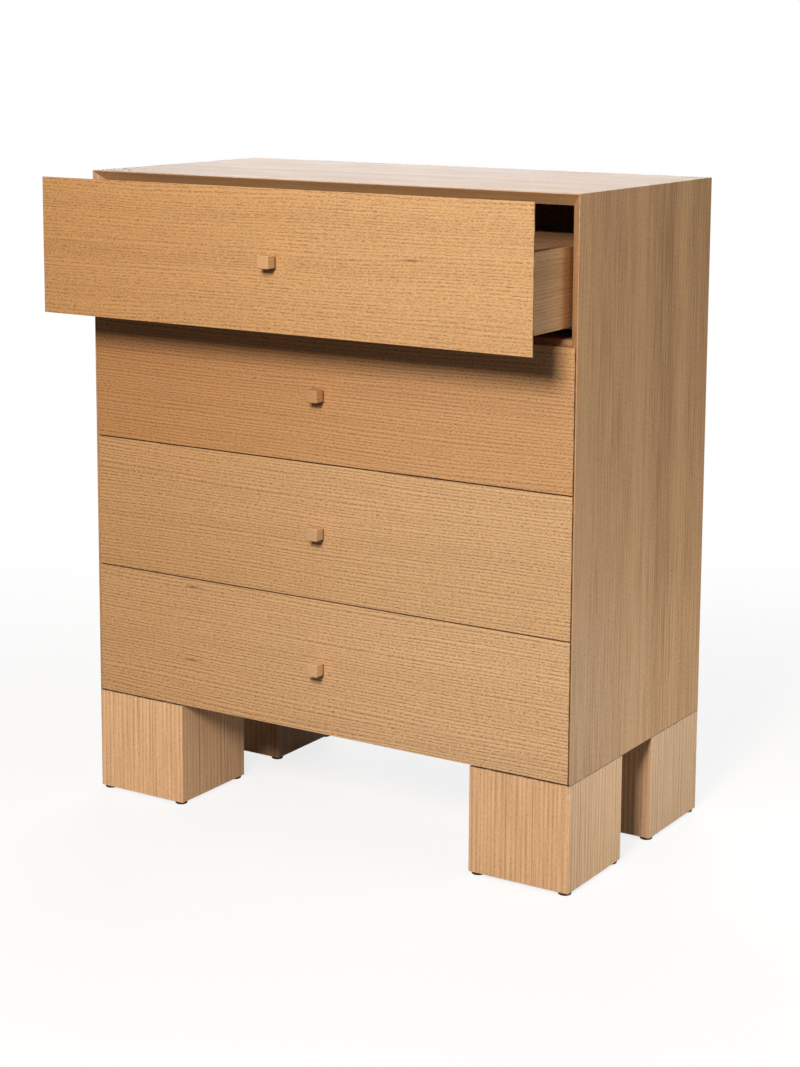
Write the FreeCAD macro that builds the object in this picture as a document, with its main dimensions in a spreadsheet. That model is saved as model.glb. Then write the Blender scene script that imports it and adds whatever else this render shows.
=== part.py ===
import FreeCAD, Part
import Sketcher
import math
import os
import re

# A chest of drawers in veneered oak board, on solid oak block feet.
# Millimetres. +Z is up, the drawers open towards -Y, and the origin lies on the floor
# under the middle of the carcass.

# Driving dimensions: alias, value, what it is.
SIZES = (
    ("width", 800, "carcass, over the side boards"),
    ("depth", 400, "carcass, front edge to rear edge"),
    ("carcass_height", 782, "carcass, over the top and bottom boards"),
    ("board", 16, "thickness of the carcass boards"),
    ("arris", 1, "flat left on the top's and sides' front edges outside their bevel"),
    ("edge_easing", 0.4, "rounding of the top's and sides' outer front edge"),
    ("back_board", 8, "thickness of the back board"),
    ("back_inset", 2, "back board below the rear edges"),
    ("back_lap", 8, "rebate for the back board, across each carcass board"),
    ("back_slack", 0.5, "gap round the edge of the back board"),
    ("tongue_width", 14, "loose tongue in a mitre, across the joint"),
    ("tongue_board", 3, "loose tongue, thickness"),
    ("tongue_setback", 20, "end of a loose tongue from the board's edges"),
    ("rail_depth", 60, "cross rail, front to back"),
    ("rail_board", 16, "cross rail, thickness"),
    ("rail_rise", 8, "cross rails' tops, above the upper edge of the front below"),
    ("rail_setback", 1.5, "cross rails and bottom board behind the drawer fronts"),
    ("dowel_width", 8, "rail dowel, diameter"),
    ("dowel_length", 30, "rail dowel, length"),
    ("dowel_bite", 10, "rail dowel, depth into a side board"),
    ("dowel_spacing", 32, "the two dowels at a rail's end, apart"),
    ("foot_side", 154, "block foot, each way in plan"),
    ("foot_height", 150, "block foot, without its glides"),
    ("foot_easing", 0.6, "rounding of a foot's edges"),
    ("bolt_spacing", 90, "the bolts of one foot, apart"),
    ("bolt_width", 8, "foot bolt, diameter"),
    ("bolt_bite", 40, "foot bolt, depth into the foot"),
    ("bolt_head_width", 16, "foot bolt's head, diameter"),
    ("bolt_head_height", 3, "foot bolt's head, height"),
    ("glide_width", 18, "glide, diameter"),
    ("glide_height", 4, "glide, height under the foot"),
    ("glide_inset", 10, "glide's centre from the foot's faces"),
    ("glide_pin_width", 3, "glide's pin, diameter"),
    ("glide_pin_length", 14, "glide's pin, depth into the foot"),
    ("front_board", 16, "thickness of a drawer front"),
    ("front_gap", 2, "gap round and between the drawer fronts"),
    ("foot_gap", 1.5, "between the lowest drawer front and the feet"),
    ("front_lip", 0.8, "square edge of a drawer front outside its bevel"),
    ("front_easing", 0.5, "rounding of a drawer front's face edges"),
    ("drawer_open", 113, "how far the top drawer stands open"),
    ("box_length", 290, "drawer box behind the front"),
    ("box_height", 105, "drawer box side"),
    ("box_lift", 22, "box sides above the lower edge of the front"),
    ("box_board", 14, "thickness of the box sides and back"),
    ("box_gap", 5, "between a box side and the carcass side"),
    ("floor_board", 8, "thickness of the drawer floor"),
    ("floor_rise", 13, "drawer floor above the box sides' lower edge"),
    ("floor_groove", 7, "depth of the groove that holds the floor"),
    ("knob_side", 18, "square knob, each way"),
    ("knob_block", 17, "square part of a knob, front to back"),
    ("knob_neck_width", 11, "knob's round neck, diameter"),
    ("knob_neck_length", 4, "knob's round neck, out from the drawer front"),
    ("knob_easing", 1.4, "rounding of the knob's edges"),
    ("knob_screw_width", 4, "knob screw, diameter"),
    ("knob_screw_bite", 16, "knob screw, depth into the knob and its neck"),
    ("knob_screw_head_width", 9, "knob screw's head, diameter"),
    ("knob_screw_head_height", 2.4, "knob screw's head, height"),
    ("runner_length", 300, "cabinet part of a runner"),
    ("slide_length", 275, "drawer part of a runner"),
    ("runner_setback", 12, "runner's front end behind the drawer front"),
    ("runner_sheet", 1.5, "thickness of the runners' steel"),
    ("runner_reach", 32, "cabinet side to the runner's upright"),
    ("runner_shelf", 20, "runner's shelf above the lower edge of the front"),
    ("runner_flange", 16, "flange that is screwed to the side, above the shelf"),
    ("runner_rail", 10, "width of the rail that carries the drawer"),
    ("runner_play", 0.3, "running play above the rail"),
    ("runner_side_play", 0.8, "running play beside and under the rail"),
    ("runner_hook", 5, "width of the hook under the rail"),
    ("runner_skirt", 9, "height of the drawer part's outer skirt"),
    ("screw_width", 3.5, "small wood screw, diameter"),
    ("screw_head_width", 7, "small wood screw's head, diameter"),
    ("screw_head_height", 1.6, "small wood screw's head, height"),
    ("screw_bite", 11, "small wood screw, depth into the board"),
    ("runner_screw_inset", 25, "outer runner screws from the runner's ends"),
    ("back_screw_inset", 60, "outer back screws from the board's ends"),
)

# What is worked out from them, by name.
WORKED = {
    # the carcass stands on the feet, and its inner faces are one board in
    "carcass_foot": "glide_height + foot_height",
    "inner_half": "width / 2 - board",
    "front_plane": "-depth / 2",
    "back_seat": "back_board + back_inset",
    "back_edge": "board - back_lap + back_slack",
    # four equal fronts share the height between the top's bevelled edge and the feet
    "front_margin": "arris + front_gap",
    "front_width": "width - 2 * front_margin",
    "front_height": "(carcass_height - front_margin - foot_gap - 3 * front_gap) / 4",
    "front_bevel": "front_board - front_lip",
    "front_pitch": "front_height + front_gap",
    "lowest_front": "carcass_foot + foot_gap",
    # the rails and the bottom board stop behind the fronts
    "behind_fronts": "front_board + rail_setback",
    # a drawer box between the carcass sides, in its own heights above the front's lower edge
    "box_half": "inner_half - box_gap",
    "box_clear_half": "box_half - box_board",
    "floor_underside": "box_lift + floor_rise",
    "floor_top": "floor_underside + floor_board",
    "box_top": "box_lift + box_height",
    # the runner's cross-section, in the same heights
    "upright": "inner_half - runner_reach",
    "rail_tip": "upright - runner_rail",
    "rail_top": "floor_underside - runner_sheet - runner_play",
    "slide_outside": "upright + runner_side_play + runner_sheet",
    "slide_inside": "rail_tip - runner_side_play - runner_sheet",
    "hook_foot": "rail_top - runner_side_play - 2 * runner_sheet",
    "runner_start": "front_plane + front_board + runner_setback",
    # feet and what is in them
    "foot_apart_x": "width - foot_side",
    "foot_apart_y": "depth - foot_side",
    "glide_apart": "foot_side - 2 * glide_inset",
    # screws of the back board, over the middle of its laps
    "back_screw_x": "width / 2 - (board + back_edge) / 2",
    "back_screw_z": "carcass_height / 2 - (board + back_edge) / 2",
}

NEAR = 1e-6
DRAWERS = ("top", "second", "third", "bottom")
OPENING = {"top": "drawer_open"}
CELLS = {alias for alias, value, note in SIZES}

doc = FreeCAD.newDocument("BlockFootChest")
sheet = doc.addObject("Spreadsheet::Sheet", "Sizes")
parts = []


def fill_sheet():
    """One row for each driving dimension: its alias, its value and what it is."""
    for row, (alias, value, note) in enumerate(SIZES, start=1):
        sheet.set(f"A{row}", alias)
        sheet.set(f"B{row}", str(value))
        sheet.set(f"C{row}", note)
        sheet.setAlias(f"B{row}", alias)
    doc.recompute()


def formula(text):
    """The text with each name written as its cell, or as what it is worked out from."""

    def swap(match):
        name = match.group(0)
        if name in CELLS:
            return f"Sizes.{name}"
        if name in WORKED:
            return f"({formula(WORKED[name])})"
        return name

    return re.sub(r"[a-z_]+", swap, text)


def bind(thing, **sizes):
    """Bind properties of an object to formulas."""
    for name, text in sizes.items():
        thing.setExpression(name, formula(text))


def place(thing, x="0", y="0", z="0"):
    """Bind the place of an object to formulas."""
    for axis, text in zip("xyz", (x, y, z)):
        thing.setExpression(f"Placement.Base.{axis}", formula(text))


def keep(thing, label):
    """Name an object as a finished sub-part."""
    thing.Label = label
    parts.append(thing)
    return thing


# ---- making solids ----


def new_body(label):
    """A PartDesign body that may hold several like solids."""
    body = doc.addObject("PartDesign::Body", "Body")
    body.Label = label
    body.AllowCompound = True
    return body


def origin_feature(body, role):
    return next(item for item in body.Origin.OriginFeatures if item.Role == role)


def new_sketch(body, plane):
    sketch = body.newObject("Sketcher::SketchObject", "Sketch")
    sketch.AttachmentSupport = (origin_feature(body, plane), [""])
    sketch.MapMode = "FlatFace"
    return sketch


def add_loop(sketch, points):
    """A closed outline whose corners are each held by two distances from the sketch's origin."""
    first = sketch.GeometryCount
    count = len(points)
    turn = 2 * math.pi / count
    rough = [FreeCAD.Vector(math.cos(turn * i), math.sin(turn * i), 0) for i in range(count)]
    for i in range(count):
        sketch.addGeometry(Part.LineSegment(rough[i], rough[(i + 1) % count]), False)
    for i in range(count):
        following = first + (i + 1) % count
        sketch.addConstraint(Sketcher.Constraint("Coincident", first + i, 2, following, 1))
    for i, corner in enumerate(points):
        for kind, text in zip(("DistanceX", "DistanceY"), corner):
            held = Sketcher.Constraint(kind, -1, 1, first + i, 1, 1.0)
            number = sketch.addConstraint(held)
            sketch.setExpression(f"Constraints[{number}]", formula(text))


def outline(body, plane, *loops):
    sketch = new_sketch(body, plane)
    for points in loops:
        add_loop(sketch, points)
    return sketch


def rectangle(low, high):
    return [low, (high[0], low[1]), high, (low[0], high[1])]


def square(half):
    return rectangle((f"-({half})", f"-({half})"), (half, half))


def circle(body, plane, width):
    """A round outline about the sketch's origin."""
    sketch = new_sketch(body, plane)
    middle = FreeCAD.Vector(0, 0, 0)
    sketch.addGeometry(Part.Circle(middle, FreeCAD.Vector(0, 0, 1), 1.0), False)
    sketch.addConstraint(Sketcher.Constraint("Coincident", 0, 3, -1, 1))
    number = sketch.addConstraint(Sketcher.Constraint("Diameter", 0, 2.0))
    sketch.setExpression(f"Constraints[{number}]", formula(width))
    return sketch


def pad(body, sketch, length, reverse=False):
    feature = body.newObject("PartDesign::Pad", "Pad")
    feature.Profile = sketch
    feature.Reversed = reverse
    bind(feature, Length=length)
    return feature


def cut_through(body, sketch):
    """A pocket through everything, to both sides of its sketch."""
    feature = body.newObject("PartDesign::Pocket", "Pocket")
    feature.Profile = sketch
    feature.Type = "ThroughAll"
    feature.Midplane = True
    return feature


def ease(body, base, radius, wanted):
    """Round those edges that the test picks out, given an edge's box and the whole shape's."""
    doc.recompute()
    whole = base.Shape.BoundBox
    edges = enumerate(base.Shape.Edges, start=1)
    names = [f"Edge{i}" for i, edge in edges if wanted(edge.BoundBox, whole)]
    feature = body.newObject("PartDesign::Fillet", "Fillet")
    feature.Base = (base, names)
    bind(feature, Radius=radius)
    return feature


def every_edge(edge_box, whole):
    return True


def turned(body, plane, axis, points):
    """A round piece: an outline turned about one of its sketch's axes."""
    sketch = outline(body, plane, points)
    feature = body.newObject("PartDesign::Revolution", "Revolution")
    feature.Profile = sketch
    feature.ReferenceAxis = (sketch, [axis])
    feature.Angle = 360
    return feature


def repeat(body, feature, *steps):
    """Repeat a feature along axes, as (axis, total length, count), or mirror it in a plane."""
    multi = body.newObject("PartDesign::MultiTransform", "MultiTransform")
    multi.Originals = [feature]
    transformations = []
    for step in steps:
        if isinstance(step, str):
            item = doc.addObject("PartDesign::Mirrored", "Mirrored")
            item.MirrorPlane = (origin_feature(body, step), [""])
        else:
            axis, length, count = step
            item = doc.addObject("PartDesign::LinearPattern", "LinearPattern")
            item.Direction = (origin_feature(body, axis), [""])
            item.Occurrences = count
            bind(item, Length=length)
        transformations.append(item)
    multi.Transformations = transformations
    body.Tip = multi
    return multi


def box(label, length, width, height, x, y, z):
    """A plain board: sizes along X, Y and Z, and its lowest corner."""
    plain = doc.addObject("Part::Box", "Box")
    plain.Label = label
    bind(plain, Length=length, Width=width, Height=height)
    place(plain, x, y, z)
    return plain


def bored(label, blank, *fillings):
    """A sub-part with the room cut out of it that its fasteners and inserts take up."""
    blank.Label = f"{label}_blank"
    tool = fillings[0]
    if len(fillings) > 1:
        tool = doc.addObject("Part::Compound", "Fillings")
        tool.Links = list(fillings)
    cut = doc.addObject("Part::Cut", "Cut")
    cut.Base = blank
    cut.Tool = tool
    return keep(cut, label)


def screw_outline(shank, bite, through, head, head_height):
    """Half a screw, tip at zero: radius first, distance along it second."""
    under_head = f"{bite} + {through}"
    top = f"{under_head} + {head_height}"
    return [
        ("0", "0"),
        (f"{shank} / 2", "0"),
        (f"{shank} / 2", under_head),
        (f"{head} / 2", under_head),
        (f"{head} / 2", top),
        ("0", top),
    ]


# ---- fasteners and inserts of the carcass ----


def mitre_tongues():
    """Loose plywood tongues, square across the four mitres."""
    body = new_body("mitre_tongues")
    middle_x = "width / 2 - board / 2"
    middle_z = "carcass_height / 2 - board / 2"
    wide = "(tongue_width + tongue_board) / 2 * sqrt(0.5)"
    narrow = "(tongue_width - tongue_board) / 2 * sqrt(0.5)"
    points = [
        (f"{middle_x} + {wide}", f"{middle_z} - {narrow}"),
        (f"{middle_x} + {narrow}", f"{middle_z} - {wide}"),
        (f"{middle_x} - {wide}", f"{middle_z} + {narrow}"),
        (f"{middle_x} - {narrow}", f"{middle_z} + {wide}"),
    ]
    tongue = pad(body, outline(body, "XZ_Plane", points), "depth - 2 * tongue_setback", True)
    repeat(body, tongue, "YZ_Plane", "XY_Plane")
    place(body, y="front_plane + tongue_setback", z="carcass_foot + carcass_height / 2")
    return keep(body, "mitre_tongues")


def foot_bolts():
    """Four bolts down through the bottom board into each foot."""
    body = new_body("foot_bolts")
    points = screw_outline(
        "bolt_width", "bolt_bite", "board", "bolt_head_width", "bolt_head_height"
    )
    bolt = turned(body, "XZ_Plane", "V_Axis", points)
    repeat(
        body,
        bolt,
        ("X_Axis", "bolt_spacing", 2),
        ("X_Axis", "foot_apart_x", 2),
        ("Y_Axis", "bolt_spacing", 2),
        ("Y_Axis", "foot_apart_y", 2),
    )
    place(
        body,
        "-(foot_apart_x + bolt_spacing) / 2",
        "-(foot_apart_y + bolt_spacing) / 2",
        "carcass_foot - bolt_bite",
    )
    return keep(body, "foot_bolts")


def rail_dowels():
    """Two dowels at each end of each cross rail, half in the side boards."""
    body = new_body("rail_dowels")
    dowel = pad(body, circle(body, "YZ_Plane", "dowel_width"), "dowel_length")
    repeat(
        body,
        dowel,
        ("X_Axis", "2 * (inner_half + dowel_bite) - dowel_length", 2),
        ("Y_Axis", "dowel_spacing", 2),
        ("Z_Axis", "2 * front_pitch", 3),
    )
    place(
        body,
        "-(inner_half + dowel_bite)",
        "front_plane + behind_fronts + (rail_depth - dowel_spacing) / 2",
        "lowest_front + front_height + rail_rise - rail_board / 2",
    )
    return keep(body, "rail_dowels")


def runner_screws():
    """Three screws through each cabinet runner's flange into the side boards."""
    body = new_body("runner_screws")
    along = screw_outline(
        "screw_width", "screw_bite", "runner_sheet", "screw_head_width", "screw_head_height"
    )
    points = [(f"inner_half + screw_bite - ({along_x})", radius) for radius, along_x in along]
    screw = turned(body, "XY_Plane", "H_Axis", points)
    repeat(
        body,
        screw,
        ("Y_Axis", "runner_length - 2 * runner_screw_inset", 3),
        ("Z_Axis", "3 * front_pitch", 4),
        "YZ_Plane",
    )
    place(
        body,
        y="runner_start + runner_screw_inset",
        z="lowest_front + runner_shelf + runner_flange / 2",
    )
    return keep(body, "runner_screws")


def back_screws():
    """Screws round the edge of the back board, into the shoulders of the rebates."""
    profile = screw_outline(
        "screw_width", "screw_bite", "back_board", "screw_head_width", "screw_head_height"
    )
    runs = (
        ("back_screw_row", "width / 2 - back_screw_inset", 4, "back_screw_z", 2),
        ("back_screw_column", "back_screw_x", 2, "carcass_height / 2 - back_screw_inset", 4),
    )
    bodies = []
    for label, half_x, across, half_z, up in runs:
        body = new_body(label)
        screw = turned(body, "XY_Plane", "V_Axis", profile)
        repeat(
            body,
            screw,
            ("X_Axis", f"2 * ({half_x})", across),
            ("Z_Axis", f"2 * ({half_z})", up),
        )
        place(
            body,
            f"-({half_x})",
            "depth / 2 - back_seat - screw_bite",
            f"carcass_foot + carcass_height / 2 - ({half_z})",
        )
        bodies.append(body)
    group = doc.addObject("Part::Compound", "Compound")
    group.Links = bodies
    return keep(group, "back_screws")


# ---- boards of the carcass ----


BEVELLED = [("0", "board"), ("0", "board - arris"), ("board - arris", "0")]
SET_BACK = [("behind_fronts", "board"), ("behind_fronts", "0")]


def carcass_board(length, front_edge):
    """A mitred board on its face: inner face down, rear edge rebated for the back board."""
    body = new_body("carcass_board")
    rear_edge = [
        ("depth - back_seat", "0"),
        ("depth - back_seat", "back_lap"),
        ("depth", "back_lap"),
        ("depth", "board"),
    ]
    slab = pad(body, outline(body, "YZ_Plane", front_edge + rear_edge), length)

    def outer_front(edge_box, whole):
        return edge_box.YMax < whole.YMin + NEAR and edge_box.ZMin > whole.ZMax - NEAR

    ease(body, slab, "edge_easing", outer_front)
    near = [("0", "0"), ("board", "0"), ("0", "board")]
    far = [(length, "0"), (length, "board"), (f"{length} - board", "0")]
    cut_through(body, outline(body, "XZ_Plane", near, far))
    return body


def turn_over(body, degrees):
    """Turn a board about the front-to-back direction."""
    body.Placement.Rotation = FreeCAD.Rotation(FreeCAD.Vector(0, 1, 0), degrees)


def carcass_boards(tongues, bolts, dowels, side_screws, rear_screws):
    """Top, bottom and two sides, mitred together so that their outer faces meet in an edge.

    The top's and the sides' front edges are bevelled inwards all round the drawer fronts. The
    bottom board is narrower, and the lowest drawer front covers its edge.
    """
    top = carcass_board("width", BEVELLED)
    place(top, "-width / 2", "front_plane", "carcass_foot + carcass_height - board")
    bored("top_panel", top, tongues, rear_screws)

    bottom = carcass_board("width", SET_BACK)
    turn_over(bottom, 180)
    place(bottom, "width / 2", "front_plane", "carcass_foot + board")
    bored("bottom_panel", bottom, tongues, rear_screws, bolts)

    left = carcass_board("carcass_height", BEVELLED)
    turn_over(left, -90)
    place(left, "-inner_half", "front_plane", "carcass_foot")
    bored("left_side_panel", left, tongues, rear_screws, dowels, side_screws)

    right = carcass_board("carcass_height", BEVELLED)
    turn_over(right, 90)
    place(right, "inner_half", "front_plane", "carcass_foot + carcass_height")
    bored("right_side_panel", right, tongues, rear_screws, dowels, side_screws)


def back_panel(rear_screws):
    """A thin board let into the rebates at the rear."""
    edge = "back_edge"
    blank = box(
        "back",
        f"width - 2 * {edge}",
        "back_board",
        f"carcass_height - 2 * {edge}",
        f"-(width / 2 - {edge})",
        "depth / 2 - back_seat",
        f"carcass_foot + {edge}",
    )
    bored("back_panel", blank, rear_screws)


def rails(dowels):
    """Flat rails from side to side behind the gaps between the drawer fronts."""
    for i, label in enumerate(("lower_rail", "middle_rail", "upper_rail")):
        blank = box(
            label,
            "2 * inner_half",
            "rail_depth",
            "rail_board",
            "-inner_half",
            "front_plane + behind_fronts",
            f"lowest_front + front_height + rail_rise - rail_board + {i} * front_pitch",
        )
        bored(label, blank, dowels)


# ---- feet ----


def glides(label, x, y):
    """Four round glides, each on a pin driven into the foot whose lowest corner is given."""
    body = new_body(label)
    points = [
        ("0", "0"),
        ("glide_width / 2", "0"),
        ("glide_width / 2", "glide_height"),
        ("glide_pin_width / 2", "glide_height"),
        ("glide_pin_width / 2", "glide_height + glide_pin_length"),
        ("0", "glide_height + glide_pin_length"),
    ]
    glide = turned(body, "XZ_Plane", "V_Axis", points)
    repeat(body, glide, ("X_Axis", "glide_apart", 2), ("Y_Axis", "glide_apart", 2))
    place(body, f"{x} + glide_inset", f"{y} + glide_inset")
    return keep(body, label)


def feet(bolts):
    """Square oak blocks, flush with the carcass's corners."""
    ways = {
        "left": "-width / 2",
        "right": "width / 2 - foot_side",
        "front": "-depth / 2",
        "rear": "depth / 2 - foot_side",
    }
    for along in ("front", "rear"):
        for across in ("left", "right"):
            name = f"{along}_{across}_foot"
            x = ways[across]
            y = ways[along]
            body = new_body(name)
            plan = outline(body, "XY_Plane", rectangle(("0", "0"), ("foot_side", "foot_side")))
            block = pad(body, plan, "foot_height")
            ease(body, block, "foot_easing", every_edge)
            place(body, x, y, "glide_height")
            bored(name, body, bolts, glides(f"{name}_glides", x, y))


# ---- runners ----


def paired_strip(label, profile, length):
    """A bent steel strip along Y on the right, and its mirror image on the left."""
    body = new_body(label)
    strip = pad(body, outline(body, "XZ_Plane", profile), length, True)
    mirror = body.newObject("PartDesign::Mirrored", "Mirrored")
    mirror.Originals = [strip]
    mirror.MirrorPlane = (origin_feature(body, "YZ_Plane"), [""])
    body.Tip = mirror
    return body


def cabinet_runners(name, lower_edge, side_screws):
    """Flange up the cabinet side, shelf under the drawer side, upright and rail inside it."""
    profile = [
        ("inner_half", "runner_shelf - runner_sheet"),
        ("inner_half", "runner_shelf + runner_flange"),
        ("inner_half - runner_sheet", "runner_shelf + runner_flange"),
        ("inner_half - runner_sheet", "runner_shelf"),
        ("upright", "runner_shelf"),
        ("upright", "rail_top"),
        ("rail_tip", "rail_top"),
        ("rail_tip", "rail_top - runner_sheet"),
        ("upright - runner_sheet", "rail_top - runner_sheet"),
        ("upright - runner_sheet", "runner_shelf - runner_sheet"),
    ]
    body = paired_strip(name, profile, "runner_length")
    place(body, y="runner_start", z=lower_edge)
    bored(f"{name}_cabinet_runners", body, side_screws)


def drawer_slides(name, lower_edge, opening):
    """Channel under the drawer floor that rides on the rail and hooks under its tip."""
    profile = [
        ("slide_outside", "floor_underside"),
        ("slide_inside", "floor_underside"),
        ("slide_inside", "hook_foot"),
        ("slide_inside + runner_sheet + runner_hook", "hook_foot"),
        ("slide_inside + runner_sheet + runner_hook", "hook_foot + runner_sheet"),
        ("slide_inside + runner_sheet", "hook_foot + runner_sheet"),
        ("slide_inside + runner_sheet", "floor_underside - runner_sheet"),
        ("slide_outside - runner_sheet", "floor_underside - runner_sheet"),
        ("slide_outside - runner_sheet", "floor_underside - runner_skirt"),
        ("slide_outside", "floor_underside - runner_skirt"),
    ]
    body = paired_strip(name, profile, "slide_length")
    place(body, y=f"runner_start - ({opening})", z=lower_edge)
    keep(body, f"{name}_drawer_slides")


# ---- drawers ----


def front_blank(name, lower_edge, plane):
    """A front whose ends are bevelled to run in past the sides' bevels.

    The top drawer's front has a bevelled upper edge too, to run in under the top.
    """
    body = new_body(name)
    half = "front_width / 2"
    plan = [
        (f"-{half}", "0"),
        (half, "0"),
        (half, "front_lip"),
        (f"{half} - front_bevel", "front_board"),
        (f"-({half} - front_bevel)", "front_board"),
        (f"-{half}", "front_lip"),
    ]
    slab = pad(body, outline(body, "XY_Plane", plan), "front_height")

    def on_face(edge_box, whole):
        return edge_box.YMax < whole.YMin + NEAR

    ease(body, slab, "front_easing", on_face)
    if name == "top":
        upper_bevel = [
            ("front_lip", "front_height"),
            ("front_board", "front_height"),
            ("front_board", "front_height - front_bevel"),
        ]
        cut_through(body, outline(body, "YZ_Plane", upper_bevel))
    place(body, y=plane, z=lower_edge)
    return body


def knob_screw(name, plane, middle):
    """A screw from inside the drawer, through the front and into the knob."""
    body = new_body(name)
    points = screw_outline(
        "knob_screw_width",
        "knob_screw_bite",
        "front_board",
        "knob_screw_head_width",
        "knob_screw_head_height",
    )
    turned(body, "XY_Plane", "V_Axis", points)
    place(body, y=f"{plane} - knob_screw_bite", z=middle)
    return keep(body, f"{name}_drawer_knob_screw")


def knob(name, plane, middle, screw):
    """A square block of oak with eased edges, end grain to the front, on a short round neck."""
    body = new_body(name)
    block = pad(body, outline(body, "XZ_Plane", square("knob_side / 2")), "knob_block")
    ease(body, block, "knob_easing", every_edge)
    pad(body, circle(body, "XZ_Plane", "knob_neck_width"), "knob_neck_length", True)
    place(body, y=f"{plane} - knob_neck_length", z=middle)
    bored(f"{name}_drawer_knob", body, screw)


def drawer(name, level, side_screws):
    """One drawer and the cabinet runners that carry it; level 0 is the lowest."""
    opening = OPENING.get(name, "0")
    lower_edge = f"lowest_front + {level} * front_pitch"
    plane = f"front_plane - ({opening})"
    middle = f"{lower_edge} + front_height / 2"
    behind = f"{plane} + front_board"

    cabinet_runners(name, lower_edge, side_screws)
    drawer_slides(name, lower_edge, opening)

    floor = box(
        f"{name}_drawer_floor",
        "2 * (box_clear_half + floor_groove)",
        "box_length + floor_groove",
        "floor_board",
        "-(box_clear_half + floor_groove)",
        f"{behind} - floor_groove",
        f"{lower_edge} + floor_underside",
    )
    keep(floor, f"{name}_drawer_floor")
    for side, x in (("left", "-box_half"), ("right", "box_clear_half")):
        blank = box(
            side,
            "box_board",
            "box_length",
            "box_height",
            x,
            behind,
            f"{lower_edge} + box_lift",
        )
        bored(f"{name}_drawer_{side}_side", blank, floor)
    back = box(
        "back",
        "2 * box_clear_half",
        "box_board",
        "box_top - floor_top",
        "-box_clear_half",
        f"{behind} + box_length - box_board",
        f"{lower_edge} + floor_top",
    )
    keep(back, f"{name}_drawer_back")
    screw = knob_screw(name, plane, middle)
    bored(f"{name}_drawer_front", front_blank(name, lower_edge, plane), floor, screw)
    knob(name, plane, middle, screw)


# ---- the chest ----


def check_document():
    """Stop if any feature failed, or a sub-part has no sound shape."""
    for thing in doc.Objects:
        if "Invalid" in thing.State or "Error" in thing.State:
            raise RuntimeError(f"{thing.Label} ({thing.Name}) failed")
    for thing in parts:
        shape = thing.Shape
        if shape.isNull() or not shape.isValid() or not shape.Solids:
            raise RuntimeError(f"{thing.Label} has no sound shape")


def write_parts():
    os.makedirs("parts", exist_ok=True)
    for thing in parts:
        thing.Shape.exportStep(f"parts/{thing.Label}.step")


fill_sheet()
tongues = mitre_tongues()
bolts = foot_bolts()
dowels = rail_dowels()
side_screws = runner_screws()
rear_screws = back_screws()
carcass_boards(tongues, bolts, dowels, side_screws, rear_screws)
back_panel(rear_screws)
rails(dowels)
feet(bolts)
for level, name in enumerate(reversed(DRAWERS)):
    drawer(name, level, side_screws)
doc.recompute()
check_document()
write_parts()
print(len(parts), "sub-parts")
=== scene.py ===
import math

import bpy
import numpy as np
from mathutils import Matrix, Vector


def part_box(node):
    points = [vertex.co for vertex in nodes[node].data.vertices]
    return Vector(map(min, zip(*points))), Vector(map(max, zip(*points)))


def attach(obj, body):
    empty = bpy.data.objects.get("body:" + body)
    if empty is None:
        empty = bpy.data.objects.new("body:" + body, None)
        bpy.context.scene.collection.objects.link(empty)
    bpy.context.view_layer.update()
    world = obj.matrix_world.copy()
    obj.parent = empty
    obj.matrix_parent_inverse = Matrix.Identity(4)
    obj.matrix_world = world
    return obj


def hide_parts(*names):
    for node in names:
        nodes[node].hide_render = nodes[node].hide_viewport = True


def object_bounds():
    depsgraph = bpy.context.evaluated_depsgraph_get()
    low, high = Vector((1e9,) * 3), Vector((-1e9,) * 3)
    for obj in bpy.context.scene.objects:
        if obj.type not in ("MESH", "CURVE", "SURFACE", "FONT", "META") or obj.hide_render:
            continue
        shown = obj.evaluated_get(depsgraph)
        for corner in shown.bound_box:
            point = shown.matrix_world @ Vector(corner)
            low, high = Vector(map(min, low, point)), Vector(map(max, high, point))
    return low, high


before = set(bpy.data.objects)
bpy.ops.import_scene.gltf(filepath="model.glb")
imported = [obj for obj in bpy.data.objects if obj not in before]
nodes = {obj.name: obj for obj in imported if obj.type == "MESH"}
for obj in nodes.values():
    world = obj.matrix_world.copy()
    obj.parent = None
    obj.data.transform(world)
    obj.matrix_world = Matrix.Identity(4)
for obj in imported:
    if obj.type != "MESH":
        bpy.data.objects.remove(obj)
cad_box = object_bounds()

# ---- The view ---------------------------------------------------------------------
# A long lens looks at the chest from its front right, from a little above its top
# board. The chest stands in the middle of the picture.

EYE = (1.7056, -2.6938, 1.1406)
TURNED_LEFT = math.radians(32.26)
TIPPED_DOWN = math.radians(8.825)
LEANING = math.radians(0.3)

camera = bpy.data.objects.new("view", bpy.data.cameras.new("view"))
camera.data.sensor_width = 36
camera.data.lens = 74.7
camera.data.shift_y = -0.15
camera.matrix_world = (
    Matrix.Translation(EYE)
    @ Matrix.Rotation(TURNED_LEFT, 4, "Z")
    @ Matrix.Rotation(math.pi / 2 - TIPPED_DOWN, 4, "X")
    @ Matrix.Rotation(LEANING, 4, "Z")
)
bpy.context.scene.collection.objects.link(camera)
bpy.context.scene.camera = camera


# ---- The light --------------------------------------------------------------------
# A warm softbox stands in front with a paler one above it. Two more stand on the right,
# one of them low down, and a large one behind gives the top board its sheen. The room is
# white to look at.

MIDDLE = (Vector(cad_box[0]) + Vector(cad_box[1])) / 2


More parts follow.
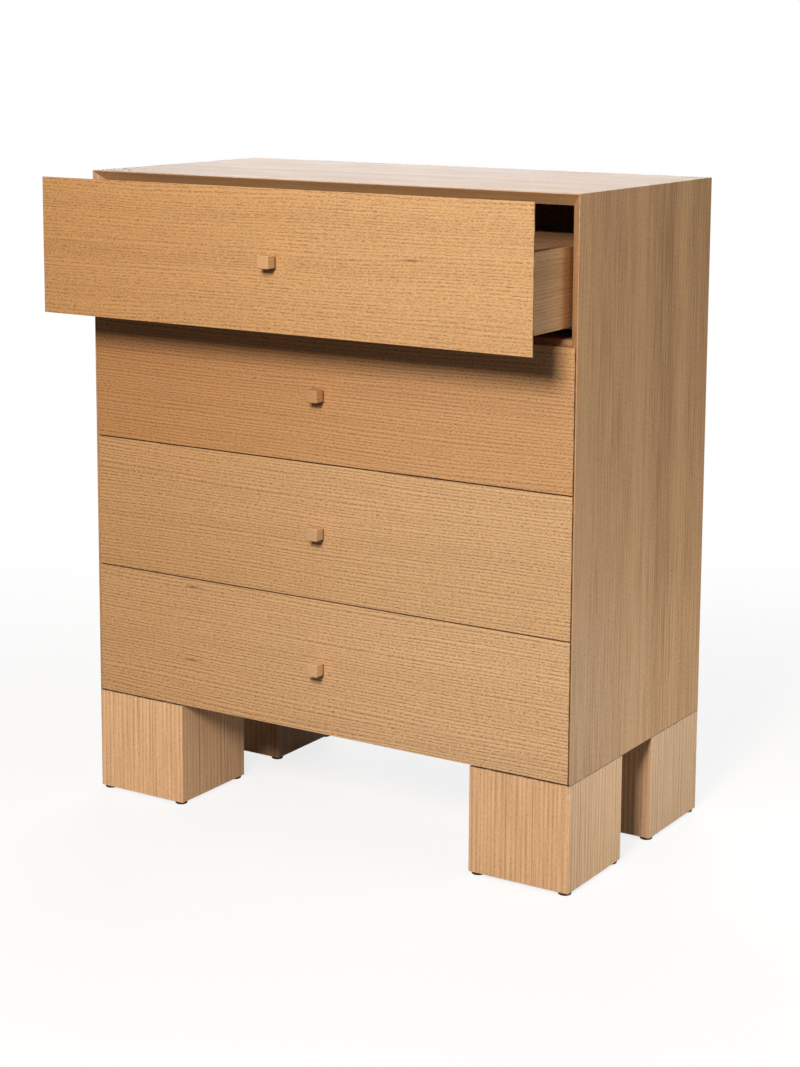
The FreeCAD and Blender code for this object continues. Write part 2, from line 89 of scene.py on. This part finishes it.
def softbox(name, azimuth, elevation, distance, side, power, colour):
    """A square lamp aimed at the middle of the chest; azimuth 0 is straight in front."""
    a = math.radians(azimuth)
    e = math.radians(elevation)
    away = Vector((math.sin(a) * math.cos(e), -math.cos(a) * math.cos(e), math.sin(e)))
    lamp = bpy.data.objects.new(name, bpy.data.lights.new(name, "AREA"))
    lamp.data.shape = "SQUARE"
    lamp.data.size = side
    lamp.data.energy = power
    lamp.data.color = colour
    lamp.visible_camera = False
    turn = away.to_track_quat("Z", "Y").to_matrix().to_4x4()
    lamp.matrix_world = Matrix.Translation(MIDDLE + away * distance) @ turn
    bpy.context.scene.collection.objects.link(lamp)


softbox("key_light", 16.2, 27.3, 3.4, 0.68, 106, (1.0, 0.89, 0.79))
softbox("high_light", 16, 42, 2.6, 1.1, 12, (0.96, 0.98, 1.0))
softbox("side_light", 91, 14, 2.4, 1.4, 20.5, (0.89, 0.93, 0.93))
softbox("low_light", 103, -21, 0.95, 0.2, 1.08, (0.89, 0.955, 1.0))
softbox("back_light", 208, 12, 3.2, 2.2, 91, (1.0, 0.98, 0.965))


class Finish:
    """A socket in a material. Arithmetic on it adds Math nodes; make adds any other node."""

    def __init__(self, tree, socket):
        self.tree = tree
        self.socket = socket

    def make(self, kind, settings=None, inputs=None, output=0):
        """A node of that type: first its settings, then a value or a link for each socket."""
        node = self.tree.nodes.new(kind)
        for name, value in (settings or {}).items():
            setattr(node, name, value)
        for name, value in (inputs or {}).items():
            if isinstance(value, Finish):
                self.tree.links.new(value.socket, node.inputs[name])
            else:
                node.inputs[name].default_value = value
        return Finish(self.tree, node.outputs[output])

    def math(self, operation, *values):
        return self.make("ShaderNodeMath", {"operation": operation}, dict(enumerate(values)))

    def __add__(self, other):
        return self.math("ADD", self, other)

    def __sub__(self, other):
        return self.math("SUBTRACT", self, other)

    def __rsub__(self, other):
        return self.math("SUBTRACT", other, self)

    def __mul__(self, other):
        return self.math("MULTIPLY", self, other)

    def __truediv__(self, other):
        return self.math("DIVIDE", self, other)

    def __abs__(self):
        return self.math("ABSOLUTE", self)

    __radd__ = __add__

    def part(self, axis):
        """One coordinate of a vector: 0, 1 or 2."""
        return self.make("ShaderNodeSeparateXYZ", inputs={0: self}, output=axis)

    def rise(self, low, high):
        """0 below low, 1 above high and a smooth slope between; high may be the lower one."""
        inputs = {"Value": self, "From Min": low, "From Max": high}
        return self.make("ShaderNodeMapRange", {"interpolation_type": "SMOOTHSTEP"}, inputs)

    def feed(self, shader, name):
        self.tree.links.new(self.socket, shader.inputs[name])


ROOM_LIGHT = 0.024
ROOM_SHINE = 0.08

world = bpy.data.worlds.new("room")
world.use_nodes = True
bpy.context.scene.world = world
bpy.context.scene.view_settings.view_transform = "Standard"
sky = world.node_tree.nodes["Background"]
sky.inputs["Color"].default_value = (1.0, 1.0, 1.0, 1.0)
room = Finish(world.node_tree, None)
seen, lighting, shining = (room.make("ShaderNodeLightPath", output=ray) for ray in (0, 2, 3))
(seen + lighting * ROOM_LIGHT + shining * ROOM_SHINE).feed(sky, "Strength")


# ---- The floor --------------------------------------------------------------------
# A pale matt studio floor. It is thin, so that the white room shows through it, and
# ends in a soft edge round the chest.

FLOOR_REACH = 2.2
FLOOR_FADES_FROM = 0.3
FLOOR_COVER = 0.19
FLOOR_GREYS = ((0.94, 0.94, 0.94, 1), (0.97, 0.97, 0.97, 1))


def start_finish(name):
    """A new material, its shader, and its piece's own coordinates in metres."""
    material = bpy.data.materials.new(name)
    material.use_nodes = True
    tree = material.node_tree
    place = tree.nodes.new("ShaderNodeTexCoord").outputs["Object"]
    return material, tree.nodes["Principled BSDF"], Finish(tree, place)


def cloud(place, per_metre, detail=2.0, roughness=0.5):
    """Noise about 0.5, with so many swings per metre along each axis."""
    scaled = place.make("ShaderNodeVectorMath", {"operation": "MULTIPLY"}, {0: place, 1: per_metre})
    inputs = {"Vector": scaled, "Scale": 1.0, "Detail": detail, "Roughness": roughness}
    return place.make("ShaderNodeTexNoise", inputs=inputs)


def mixed(share, first, second, how="MIX"):
    """A mix of two colours, the share being that of the second."""
    settings = {"data_type": "RGBA", "blend_type": how}
    return share.make("ShaderNodeMix", settings, {0: share, 6: first, 7: second}, output=2)


def floor_disc(reach):
    """A flat disc on the ground, its rim at (reach cos a, reach sin a, 0)."""
    angle = np.linspace(0, 2 * math.pi, 96, endpoint=False)
    rim = np.stack([reach * np.cos(angle), reach * np.sin(angle), np.zeros_like(angle)], 1)
    mesh = bpy.data.meshes.new("floor")
    mesh.from_pydata(rim.tolist(), [], [list(range(len(rim)))])
    return bpy.data.objects.new("floor", mesh)


def floor_finish():
    material, shader, place = start_finish("studio_floor")
    mottle = cloud(place, (3, 3, 3))
    mixed(mottle, *FLOOR_GREYS).feed(shader, "Base Color")
    shader.inputs["Roughness"].default_value = 0.9
    shader.inputs["Specular IOR Level"].default_value = 0.2
    reach = place.make("ShaderNodeVectorMath", {"operation": "LENGTH"}, {0: place}, output=1)
    cover = reach.rise(FLOOR_REACH, FLOOR_REACH * FLOOR_FADES_FROM) * FLOOR_COVER
    cover.feed(shader, "Alpha")
    return material


floor = floor_disc(FLOOR_REACH)
floor.data.materials.append(floor_finish())
bpy.context.scene.collection.objects.link(floor)


# ---- The carcass boards -----------------------------------------------------------
# Four boards in oak veneer, mitred so that the veneer meets in a sharp edge, with the
# front edges bevelled inwards. The grain runs up the sides and along the top and
# bottom, in fine straight lines, under a matt oil.

LEFT_TO_RIGHT = Vector((1, 0, 0))
FRONT_TO_BACK = Vector((0, 1, 0))
UP = Vector((0, 0, 1))

PORE_BROWN = (0.16, 0.075, 0.03, 1)
STREAK_BROWN = (0.10, 0.04, 0.015, 1)
# The brown of the painted shade on the edges of the fronts and feet.
PAINTED_SHADE_BROWN = (0.055, 0.013, 0.004, 1)
RED_SHADE = (0.962, 0.870, 0.765, 1)
LATE_WOOD = (1.22, 1.22, 1.22)
EARLY_WOOD = (0.66, 0.58, 0.50)

RING_LEAN = 0.31
STAVE_STEP = 0.19
GLUE_AND_SEAM_SHADE_LINE = (0.0009, 0.0002)
STREAK_LENGTH = 0.012
STREAK_HEIGHT = 0.0012
# How far the painted highlight reaches in from a board's edges.
EDGE_HIGHLIGHT_REACH = 0.0018


def near_edges(place, box, reach):
    """1 at the edges of a board, 0 from the reach on.

    A point's depths below the three pairs of faces of the box are sorted, and the middle
    one is how far the nearest edge is, measured square to it.
    """
    low, high = (Vector(corner) for corner in box)
    half = (high - low) / 2
    offset = place.make(
        "ShaderNodeVectorMath", {"operation": "SUBTRACT"}, {0: place, 1: (low + high) / 2}
    )
    x, y, z = (half[axis] - abs(offset.part(axis)) for axis in range(3))
    smaller = x.math("MINIMUM", x, y)
    larger = x.math("MAXIMUM", x, y)
    middle = x.math("MAXIMUM", smaller, x.math("MINIMUM", larger, z))
    return middle.rise(reach, 0)


def shade(tone, shares):
    """A tone with each of its channels at a share of itself."""
    return tuple(channel * share for channel, share in zip(tone, shares))


def oak(
    name, grain, rings, tone, start=(0, 0, 0), pitch=0.0048, sway=0.034, lines=0.62,
    ticks=4.0, threads=0.5, bands=0.5, relief=0.00035, box=None, marks=(), joints=(),
    redder=None, painted_shade=(),
):
    """Rift-sawn oak under a matt oil, as a solid pattern.

    The place in the log is (along the grain, across the rings, the third way). Growth
    rings are a wave of the way across, bent by slow noise: each is dark where it starts.
    Ticks are short noise drawn out along the grain, threads longer noise, and bands slow
    changes of tone; relief is the depth of the grain. A box gives paler, patchy edges: a
    painted highlight along the arrises. Marks are short dark streaks, given by their middles
    (x, z) on the face. Joints are (axis, position) of dark lines: where staves or leaves are
    glued, and on the side boards a line of painted shade where the feet meet them. redder
    is the x at which the leaf is reddest. The last argument holds an (axis, clean, dark,
    depth) for each edge with painted shade: going away from zero, the painted shade sets in
    at clean and has its full depth from dark on.
    """
    material, shader, place = start_finish(name)
    turn = Matrix((grain, rings, grain.cross(rings))).to_euler()
    log = place.make(
        "ShaderNodeMapping", inputs={"Vector": place, "Rotation": turn, "Location": start}
    )
    staves = glue_and_seam_shade = 0
    for count, (axis, position) in enumerate(joints, 1):
        part = place.part("XYZ".index(axis))
        staves = staves + part.math("GREATER_THAN", part, position) * (STAVE_STEP * count)
        glue_and_seam_shade = glue_and_seam_shade + abs(part - position).rise(*GLUE_AND_SEAM_SHADE_LINE)
    along, across, third = (log.part(axis) for axis in range(3))
    bend = (cloud(log, (1.3, 5, 5), detail=1) - 0.5) * sway
    ripple = (cloud(log, (8, 45, 45), detail=1) - 0.5) * (sway * 0.12)
    across = across + third * RING_LEAN + staves + bend + ripple
    way = place.make("ShaderNodeCombineXYZ", inputs={0: along, 1: across, 2: third})

    wave = across / pitch + (cloud(way, (0.4, 17, 9), detail=1) - 0.5) * 3.5
    wave = wave + (cloud(way, (1.0, 70, 40), detail=1) - 0.5) * 1.2
    phase = wave.math("FRACT", wave)
    early = phase.rise(0.0, 0.12) * phase.rise(0.66, 0.20)
    strength = cloud(way, (9, 110, 50)).rise(0.34, 0.60)
    tick = cloud(way, (300, 780, 780), roughness=0.7) - 0.5
    thread = cloud(way, (9, 300, 300), detail=3) - 0.5
    band = cloud(way, (0.6, 24, 12)) - 0.5
    pores = cloud(way, (150, 800, 800), detail=1).rise(0.54, 0.68) * (early * 0.6 + 0.4)
    ring_lines = (early - 0.38) * (strength * 0.85 + 0.15) * lines
    short_ticks = tick * (early * 0.8 + 0.6) * ticks
    share = ring_lines + short_ticks + thread * threads + band * bands + 0.345

    colour = mixed(share, (*shade(tone, LATE_WOOD), 1), (*shade(tone, EARLY_WOOD), 1))
    colour = mixed(pores * (0.14 * ticks), colour, PORE_BROWN)
    for x, z in marks:
        wide = (place.part(0) - x) / STREAK_LENGTH
        tall = (place.part(2) - z + ripple * 0.5) / STREAK_HEIGHT
        streak = place.math("EXPONENT", (wide * wide + tall * tall) * -1)
        colour = mixed(streak * 0.8, colour, STREAK_BROWN)
    # Glue lines, and on the side boards a line of painted shade over the feet.
    if joints:
        colour = mixed(glue_and_seam_shade * 0.5, colour, PORE_BROWN)
    if redder:
        left = place.part(0).rise(-redder * 0.7, redder)
        colour = mixed(left, colour, RED_SHADE, "MULTIPLY")
    # Painted shade darkens the given edges, which are also made a little rougher.
    painted_shade_roughness = 0
    for axis, clean, dark, depth in painted_shade:
        edge = abs(place.part(axis)).rise(clean, dark) * depth
        colour = mixed(edge, colour, PAINTED_SHADE_BROWN)
        painted_shade_roughness = painted_shade_roughness + edge * 0.4
    if box:
        # Paler, patchy edges: a painted highlight along the arrises.
        edge_highlight = near_edges(place, box, EDGE_HIGHLIGHT_REACH) * cloud(place, (60, 60, 60)).rise(0.25, 0.75)
        pale = tuple(min(1, channel * 1.5) for channel in tone) + (1,)
        colour = mixed(edge_highlight * 0.45, colour, pale)
    colour.feed(shader, "Base Color")
    (early * 0.06 + pores * 0.18 + thread * 0.3 + 0.52 + painted_shade_roughness).feed(shader, "Roughness")
    height = early * -0.35 - pores + thread * 0.7
    place.make(
        "ShaderNodeBump", inputs={"Height": height, "Strength": 0.45, "Distance": relief}
    ).feed(shader, "Normal")
    shader.inputs["Specular IOR Level"].default_value = 0.8
    return material


def dress(name, material):
    """Give a CAD node its finish."""
    for slot in nodes[name].material_slots:
        slot.material = material


CARCASS_TONE = (0.470, 0.268, 0.124)
STRAIGHT = {
    "pitch": 0.0085, "sway": 0.005, "lines": 0.26, "ticks": 2.8, "threads": 2.1, "bands": 1.7,
}
SMOOTH = {
    "pitch": 0.0085, "sway": 0.005, "lines": 0.12, "ticks": 1.2, "threads": 0.9, "bands": 0.8,
    "relief": 0.0001,
}
LEAF_JOINT = ("Y", 0.002)
# A dark line on the side boards just over the feet: painted shade in the seam.
FOOT_SEAM_SHADE = ("Z", 0.1543)
SIDE_JOINTS_AND_SEAM_SHADE = (LEAF_JOINT, FOOT_SEAM_SHADE)

for name, grain, rings, start, joints, cut in (
    ("top_panel", LEFT_TO_RIGHT, FRONT_TO_BACK, (0.3, 0.9, 0.1), (), SMOOTH),
    ("bottom_panel", LEFT_TO_RIGHT, FRONT_TO_BACK, (1.3, 2.1, 0.4), (), STRAIGHT),
    ("left_side_panel", UP, FRONT_TO_BACK, (2.2, 3.4, 0.7), SIDE_JOINTS_AND_SEAM_SHADE, STRAIGHT),
    ("right_side_panel", UP, FRONT_TO_BACK, (3.1, 4.6, 1.1), SIDE_JOINTS_AND_SEAM_SHADE, STRAIGHT),
):
    finish = oak(
        f"{name}_oak", grain, rings, CARCASS_TONE, start, box=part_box(name), joints=joints, **cut
    )
    dress(name, finish)


# ---- The cross rails --------------------------------------------------------------
# Flat rails behind the gaps between the drawer fronts, in the same veneer and dowelled
# into the sides. Each stands a little higher than the front below it.

for level, name in enumerate(("lower_rail", "middle_rail", "upper_rail")):
    start = (4.0 + level, 0.5 + level * 0.7, 0.2)
    finish = oak(
        f"{name}_oak", LEFT_TO_RIGHT, FRONT_TO_BACK, CARCASS_TONE, start, **STRAIGHT
    )
    dress(name, finish)


# ---- The back ---------------------------------------------------------------------
# A thin veneered board let into the rear rebates. Screws with domed, cross-slotted heads
# hold it all round.

BACK_PANEL_TONE = (0.43, 0.27, 0.14)
panel_oak = oak(
    "back_panel_oak", UP, LEFT_TO_RIGHT, BACK_PANEL_TONE, (0.2, 5.3, 0.6), **STRAIGHT
)
dress("back_panel", panel_oak)

SCREW_HEAD = 0.0035
SCREW_DOME = 0.0016
SLOT_DEPTH = 0.0009
SLOT_HALF_WIDTH = 0.00042
SLOT_HALF_LENGTH = 0.0019
SLOT_SOFT_SIDE = 0.00006
SLOT_SOFT_END = 0.00012
OUTER_SCREWS = 0.060
SCREWS_PER_EDGE = 4
CARCASS_HALF_WIDTH = 0.4
CARCASS_HALF_HEIGHT = 0.391


def skin(name, stacks):
    """A mesh of closed skins.

    stacks[piece, ring, point] holds each piece's rings of points, which go round
    anticlockwise as seen from the way the rings follow each other. The first and last ring
    of a piece have shrunk to a point.
    """
    pieces, rings, points, _ = stacks.shape
    walls = rings - 2
    ends = stacks[:, [0, -1], 0]
    vertices = np.concatenate([stacks[:, 1:-1].reshape(pieces, -1, 3), ends], 1)
    ring, point = np.meshgrid(np.arange(walls - 1), np.arange(points), indexing="ij")
    here = ring * points + point
    beside = ring * points + (point + 1) % points
    quads = np.stack([here, beside, beside + points, here + points], -1).reshape(-1, 4)
    point = np.arange(points)
    after = (point + 1) % points
    first = np.full(points, walls * points)
    final = (walls - 1) * points
    caps = np.concatenate([
        np.stack([after, point, first], -1),
        np.stack([final + point, final + after, first + 1], -1),
    ])
    shifts = np.arange(pieces)[:, None, None] * vertices.shape[1]
    faces = (quads + shifts).reshape(-1, 4).tolist() + (caps + shifts).reshape(-1, 3).tolist()
    mesh = bpy.data.meshes.new(name)
    mesh.from_pydata(vertices.reshape(-1, 3).tolist(), [], faces)
    mesh.polygons.foreach_set("use_smooth", np.ones(len(faces), bool))
    return bpy.data.objects.new(name, mesh)


def fit(piece, node, body, finish):
    """Put a piece in a CAD node's stead, on that node's body."""
    piece.data.materials.append(finish)
    bpy.context.scene.collection.objects.link(piece)
    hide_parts(node)
    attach(piece, body)
    return piece


def screw_heads(middles, y):
    """Domed heads with a cross slot, seen from the back.

    At a radius r a head stands proud by dome * sqrt(1 - 0.8 (r/R)^2), less a cross-shaped
    pit: its depth falls off smoothly beside each arm and at the arm's end.
    """
    radius = np.concatenate([[0], np.linspace(0.04, 1, 20), [1, 1, 0]]) * SCREW_HEAD
    angle = np.linspace(0, 2 * math.pi, 64, endpoint=False)
    x = radius[:, None] * np.cos(angle)
    z = -radius[:, None] * np.sin(angle)
    dome = SCREW_DOME * np.sqrt(1 - 0.8 * (radius / SCREW_HEAD) ** 2)[:, None]
    beside = np.minimum(abs(x), abs(z))
    along = np.maximum(abs(x), abs(z))
    arm = 1 / (1 + np.exp((beside - SLOT_HALF_WIDTH) / SLOT_SOFT_SIDE))
    arm_end = 1 / (1 + np.exp((along - SLOT_HALF_LENGTH) / SLOT_SOFT_END))
    proud = dome - SLOT_DEPTH * arm * arm_end
    proud[-3:] = [[SCREW_DOME * 0.3], [0], [0]]
    ring = np.stack([x, np.broadcast_to(proud, x.shape), z], -1)[::-1]
    spots = np.array([(column, y, row) for column, row in middles])
    return skin("back_screw_heads", ring[None] + spots[:, None, None])


low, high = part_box("back_screws")
floor_row, top_row = low.z + SCREW_HEAD, high.z - SCREW_HEAD
columns = (low.x + SCREW_HEAD, high.x - SCREW_HEAD)
evenly = np.linspace(-1, 1, SCREWS_PER_EDGE)
row_spots = evenly * (CARCASS_HALF_WIDTH - OUTER_SCREWS)
column_spots = (floor_row + top_row) / 2 + evenly * (CARCASS_HALF_HEIGHT - OUTER_SCREWS)
middles = [(x, z) for x in row_spots for z in (floor_row, top_row)]
middles += [(x, z) for x in columns for z in column_spots]
back_screw_heads = screw_heads(middles, high.y - SCREW_DOME)


def metal(name, colour, roughness, scratches):
    """Zinc plate: dull spangle in the colour, fine scratches in the roughness and relief."""
    material, shader, place = start_finish(name)
    spangle = cloud(place, (90, 90, 90), detail=3)
    lines = cloud(place, scratches)
    dull = tuple(c * 0.72 for c in colour) + (1,)
    mixed(spangle.rise(0.35, 0.65), (*colour, 1), dull).feed(shader, "Base Color")
    (spangle * 0.15 + lines * 0.2 + roughness).feed(shader, "Roughness")
    place.make(
        "ShaderNodeBump", inputs={"Height": lines, "Strength": 0.2, "Distance": 0.0001}
    ).feed(shader, "Normal")
    shader.inputs["Metallic"].default_value = 1.0
    return material


ZINC = (0.62, 0.62, 0.60)
zinc_screws = metal("zinc_plated_screws", ZINC, 0.25, (900, 900, 900))
fit(back_screw_heads, "back_screws", "carcass", zinc_screws)
for name in ("runner_screws", "foot_bolts"):
    dress(name, zinc_screws)


# ---- The feet ---------------------------------------------------------------------
# Four square blocks glued up from upright oak staves, so that a thin glue line shows
# here and there on their faces. Their uppermost millimetre is painted dark as shade, and
# bolts hold them to the bottom board.

FOOT_TONES = {
    "front_left_foot": (0.816, 0.516, 0.285),
    "front_right_foot": (0.683, 0.431, 0.236),
    "rear_left_foot": (0.500, 0.320, 0.180),
    "rear_right_foot": (0.585, 0.380, 0.222),
}
UPRIGHT = {
    "pitch": 0.0057, "sway": 0.003, "lines": 0.44, "ticks": 1.2, "threads": 1.2, "bands": 0.1,
}
# Painted shade: the top millimetre of each foot is dark for the shade in the seam under the
# carcass.
DARK_FOOT_TOP = (0.0011, 0.0006)
STAVE_JOINTS = {
    "front_left_foot": (("X", -0.3013), ("Y", -0.1585)),
    "front_right_foot": (("X", 0.3034), ("X", 0.3448), ("Y", -0.1682), ("Y", -0.0632)),
    "rear_left_foot": (("X", -0.2902), ("Y", 0.118)),
    "rear_right_foot": (("X", 0.330), ("Y", 0.1241)),
}


def painted_shade_edge(axis, edge, inside, depth=1):
    """An edge with painted shade: it sets in inside[0] short of the edge, full from inside[1]."""
    return axis, edge - inside[0], edge - inside[1], depth


slanting = Vector((0.885, 0.466, 0)).normalized()
for count, (name, joints) in enumerate(STAVE_JOINTS.items()):
    start = (0.4 * count, 1.7 * count, 0.9)
    low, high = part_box(name)
    finish = oak(
        f"{name}_oak", UP, slanting, FOOT_TONES[name], start, box=(low, high), joints=joints,
        painted_shade=(painted_shade_edge(2, high.z, DARK_FOOT_TOP),), **UPRIGHT,
    )
    dress(name, finish)


# ---- The glides -------------------------------------------------------------------
# Round glides of dark brown plastic under the corners of the feet, with rounded rims,
# each on a steel pin.

GLIDE_RADIUS = 0.009
GLIDE_HEIGHT = 0.004
GLIDE_EASING = 0.0012
GLIDE_INSET = 0.010
PLASTIC_BROWN = (0.035, 0.020, 0.013, 1)
PLASTIC_PALER = (0.065, 0.040, 0.027, 1)
PLASTIC_SCUFF = (0.12, 0.09, 0.07, 1)


def dark_plastic():
    """Moulded plastic: a faint mottle, and scuffs where it meets the floor."""
    material, shader, place = start_finish("glide_plastic")
    mottle = cloud(place, (160, 160, 160), detail=3)
    scuffed = place.part(2).rise(0.0025, 0.0005) * cloud(place, (300, 300, 600)).rise(0.4, 0.6)
    colour = mixed(mottle, PLASTIC_BROWN, PLASTIC_PALER)
    mixed(scuffed * 0.5, colour, PLASTIC_SCUFF).feed(shader, "Base Color")
    (mottle * 0.25 + scuffed * 0.2 + 0.36).feed(shader, "Roughness")
    place.make(
        "ShaderNodeBump", inputs={"Height": mottle, "Strength": 0.15, "Distance": 0.0002}
    ).feed(shader, "Normal")
    return material


def turned_glides(name, middles):
    """Turned pads: each point of the profile (r, z) goes round the upright axis.

    The profile is a straight bottom, a quarter circle up to the full radius, a straight
    wall, a quarter circle back in, and a straight top.
    """
    quarter = np.linspace(0, math.pi / 2, 7)
    inner = GLIDE_RADIUS - GLIDE_EASING
    lower = (inner + GLIDE_EASING * np.sin(quarter), GLIDE_EASING * (1 - np.cos(quarter)))
    r = np.concatenate([[0, inner * 0.9], lower[0], lower[0][::-1], [inner * 0.9, 0]])
    z = np.concatenate([[0, 0], lower[1], GLIDE_HEIGHT - lower[1][::-1], [GLIDE_HEIGHT] * 2])
    angle = np.linspace(0, 2 * math.pi, 48, endpoint=False)
    height = np.broadcast_to(z[:, None], (len(z), len(angle)))
    ring = np.stack([r[:, None] * np.cos(angle), r[:, None] * np.sin(angle), height], -1)
    spots = np.array([(x, y, 0) for x, y in middles])
    return skin(name, ring[None] + spots[:, None, None])


glide_plastic = dark_plastic()
for name in STAVE_JOINTS:
    low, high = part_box(name)
    ends = [(low[axis] + GLIDE_INSET, high[axis] - GLIDE_INSET) for axis in (0, 1)]
    glides = turned_glides(f"{name}_turned_glides", [(x, y) for x in ends[0] for y in ends[1]])
    fit(glides, f"{name}_glides", "carcass", glide_plastic)


# ---- Joints hidden in the wood ----------------------------------------------------
# Loose plywood tongues, square across the four mitres, and two raw beech dowels from each
# end of a cross rail into the side board.

BEECH_TONE = (0.65, 0.45, 0.29)
beech = oak("beech", FRONT_TO_BACK, LEFT_TO_RIGHT, BEECH_TONE, lines=0.2, ticks=0.4)
for name in ("mitre_tongues", "rail_dowels"):
    dress(name, beech)


# ---- The runners ------------------------------------------------------------------
# Bent zinc plated sheet steel. For each drawer a strip is screwed to either side of the
# carcass, and a channel under either side of the drawer's floor rides on it.

ZINC_SHEET = (0.50, 0.51, 0.52)
zinc_sheet = metal("zinc_plated_sheet", ZINC_SHEET, 0.38, (1200, 8, 1200))
DRAWERS = ("top", "second", "third", "bottom")
for drawer in DRAWERS:
    dress(f"{drawer}_cabinet_runners", zinc_sheet)
    dress(f"{drawer}_drawer_slides", zinc_sheet)


# ---- The drawer fronts ------------------------------------------------------------
# Full-width fronts in oak veneer with the grain running across, their ends bevelled at
# the back. Each has a leaf of its own; the top one is a shade yellower. Their ends carry
# painted shade, and so, more faintly, do their upper edges, apart from the second's.

FRONT_TONES = {
    "top": (0.546, 0.326, 0.144),
    "second": (0.519, 0.292, 0.127),
    "third": (0.585, 0.375, 0.187),
    "bottom": (0.628, 0.409, 0.216),
}
FRONT_LINES = {"top": 0.48, "second": 0.78, "third": 0.92, "bottom": 1.0}
FRONT_TICKS = {"top": 3.8, "second": 4.3, "third": 4.9, "bottom": 4.9}
FRONT_MARKS = {
    "top": ((0.219, 0.850),),
    "bottom": ((-0.223, 0.337), (-0.227, 0.227)),
}
# Painted shade: the dark ends and upper edges stand for the shade in the gaps round the fronts.
DARK_END = (0.0009, 0.0005)
DARK_TOP = (0.0004, 0.0002)
DARK_TOP_DEPTH = 0.45
for count, drawer in enumerate(DRAWERS):
    name = f"{drawer}_drawer_front"
    low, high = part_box(name)
    painted_shade = [painted_shade_edge(0, high.x, DARK_END)]
    if drawer != "second":
        painted_shade.append(painted_shade_edge(2, high.z, DARK_TOP, DARK_TOP_DEPTH))
    finish = oak(
        f"{name}_oak", LEFT_TO_RIGHT, UP, FRONT_TONES[drawer],
        (1.1 * count, 0.83 * count, 0.3), lines=FRONT_LINES[drawer],
        ticks=FRONT_TICKS[drawer], box=(low, high), marks=FRONT_MARKS.get(drawer, ()),
        redder=low.x, painted_shade=painted_shade,
    )
    dress(name, finish)


# ---- The knobs --------------------------------------------------------------------
# A square block of oak with eased edges, its end grain to the front, on a short round
# neck; a screw from inside the drawer holds it.

KNOB_HALF = 0.009
KNOB_BLOCK = 0.017
KNOB_NECK = (0.0055, 0.004)
KNOB_EASING = 0.0014
KNOB_RINGS = {"top": 62, "second": 48, "third": -40, "bottom": -35}
PALE_KNOB = (1.02, 1.03, 1.08)
DARK_KNOB = (0.95, 0.94, 0.97)


def square_knob(name, middle, back):
    """Rings from the drawer front outwards, round at the neck and square at the block.

    The point at an angle a is half * (cos a, sin a) / (|cos a|^n + |sin a|^n)^(1/n), a
    circle at n = 2 and a square with rounded corners at n = 13. Angles crowd towards the
    corners, and quarter circles ease the block's edges.
    """
    radius, length = KNOB_NECK
    quarter = np.linspace(0, math.pi / 2, 7)
    narrow = KNOB_HALF - KNOB_EASING
    eased = narrow + KNOB_EASING * np.sin(quarter)
    fall = KNOB_EASING * (1 - np.cos(quarter))
    out = length + KNOB_BLOCK
    face = narrow * 0.95
    sizes = np.concatenate([[0, radius, radius, radius, face], eased, eased[::-1], [face, 0]])
    neck = [0, 0, length * 0.97, length, length]
    depths = np.concatenate([neck, length + fall, out - fall[::-1], [out, out]])
    powers = np.concatenate([[2, 2, 2, 2, 13], np.full(14, 13), [13, 13]])[:, None]
    even = np.linspace(0, 2 * math.pi, 144, endpoint=False)
    angle = even + 0.18 * np.sin(4 * even)
    c, s = np.cos(angle), np.sin(angle)
    reach = sizes[:, None] / (abs(c) ** powers + abs(s) ** powers) ** (1 / powers)
    depth = np.broadcast_to(back - depths[:, None], reach.shape)
    ring = np.stack([middle[0] + reach * c, depth, middle[1] + reach * s], -1)
    return skin(name, ring[None])


for count, drawer in enumerate(DRAWERS):
    slope = math.radians(KNOB_RINGS[drawer])
    rings = Vector((math.cos(slope), 0, math.sin(slope)))
    tone = shade(FRONT_TONES[drawer], PALE_KNOB if drawer == "top" else DARK_KNOB)
    finish = oak(
        f"{drawer}_drawer_knob_oak", FRONT_TO_BACK, rings, tone, (0.13 * count, 0.29 * count, 0),
        pitch=0.0030, sway=0.004, lines=0.6, ticks=0.8,
    )
    low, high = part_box(f"{drawer}_drawer_knob")
    middle = ((low.x + high.x) / 2, (low.z + high.z) / 2)
    knob = square_knob(f"{drawer}_square_knob", middle, high.y)
    fit(knob, f"{drawer}_drawer_knob", f"{drawer}_drawer", finish)
    dress(f"{drawer}_drawer_knob_screw", zinc_screws)


# ---- The drawer boxes -------------------------------------------------------------
# Low boxes of oak-faced board: two sides and a back, with a floor let into grooves round
# the inside. The channels under the floor carry them on the runners.

BOX_TONE = (0.455, 0.250, 0.110)
# The back has a darker copy of the sides' tone: painted shade for the inside of the drawer.
SHADED_BACK_TONE = (0.300, 0.158, 0.072)
FLOOR_TONE = (0.40, 0.26, 0.15)
BOX_CUT = {"lines": 0.4, "ticks": 1.6, "threads": 0.8, "bands": 0.8}
for count, drawer in enumerate(DRAWERS):
    along, across = 0.7 * count, 1.31 * count
    side_oak = oak(
        f"{drawer}_drawer_side_oak", FRONT_TO_BACK, UP, BOX_TONE, (along, across, 0.2),
        **BOX_CUT,
    )
    shaded_back_oak = oak(
        f"{drawer}_drawer_back_oak", LEFT_TO_RIGHT, UP, SHADED_BACK_TONE, (along, across + 1, 0.5),
        **BOX_CUT,
    )
    floor_oak = oak(
        f"{drawer}_drawer_floor_oak", LEFT_TO_RIGHT, FRONT_TO_BACK, FLOOR_TONE,
        (along, across + 2, 0.7), **BOX_CUT,
    )
    dress(f"{drawer}_drawer_left_side", side_oak)
    dress(f"{drawer}_drawer_right_side", side_oak)
    dress(f"{drawer}_drawer_back", shaded_back_oak)
    dress(f"{drawer}_drawer_floor", floor_oak)
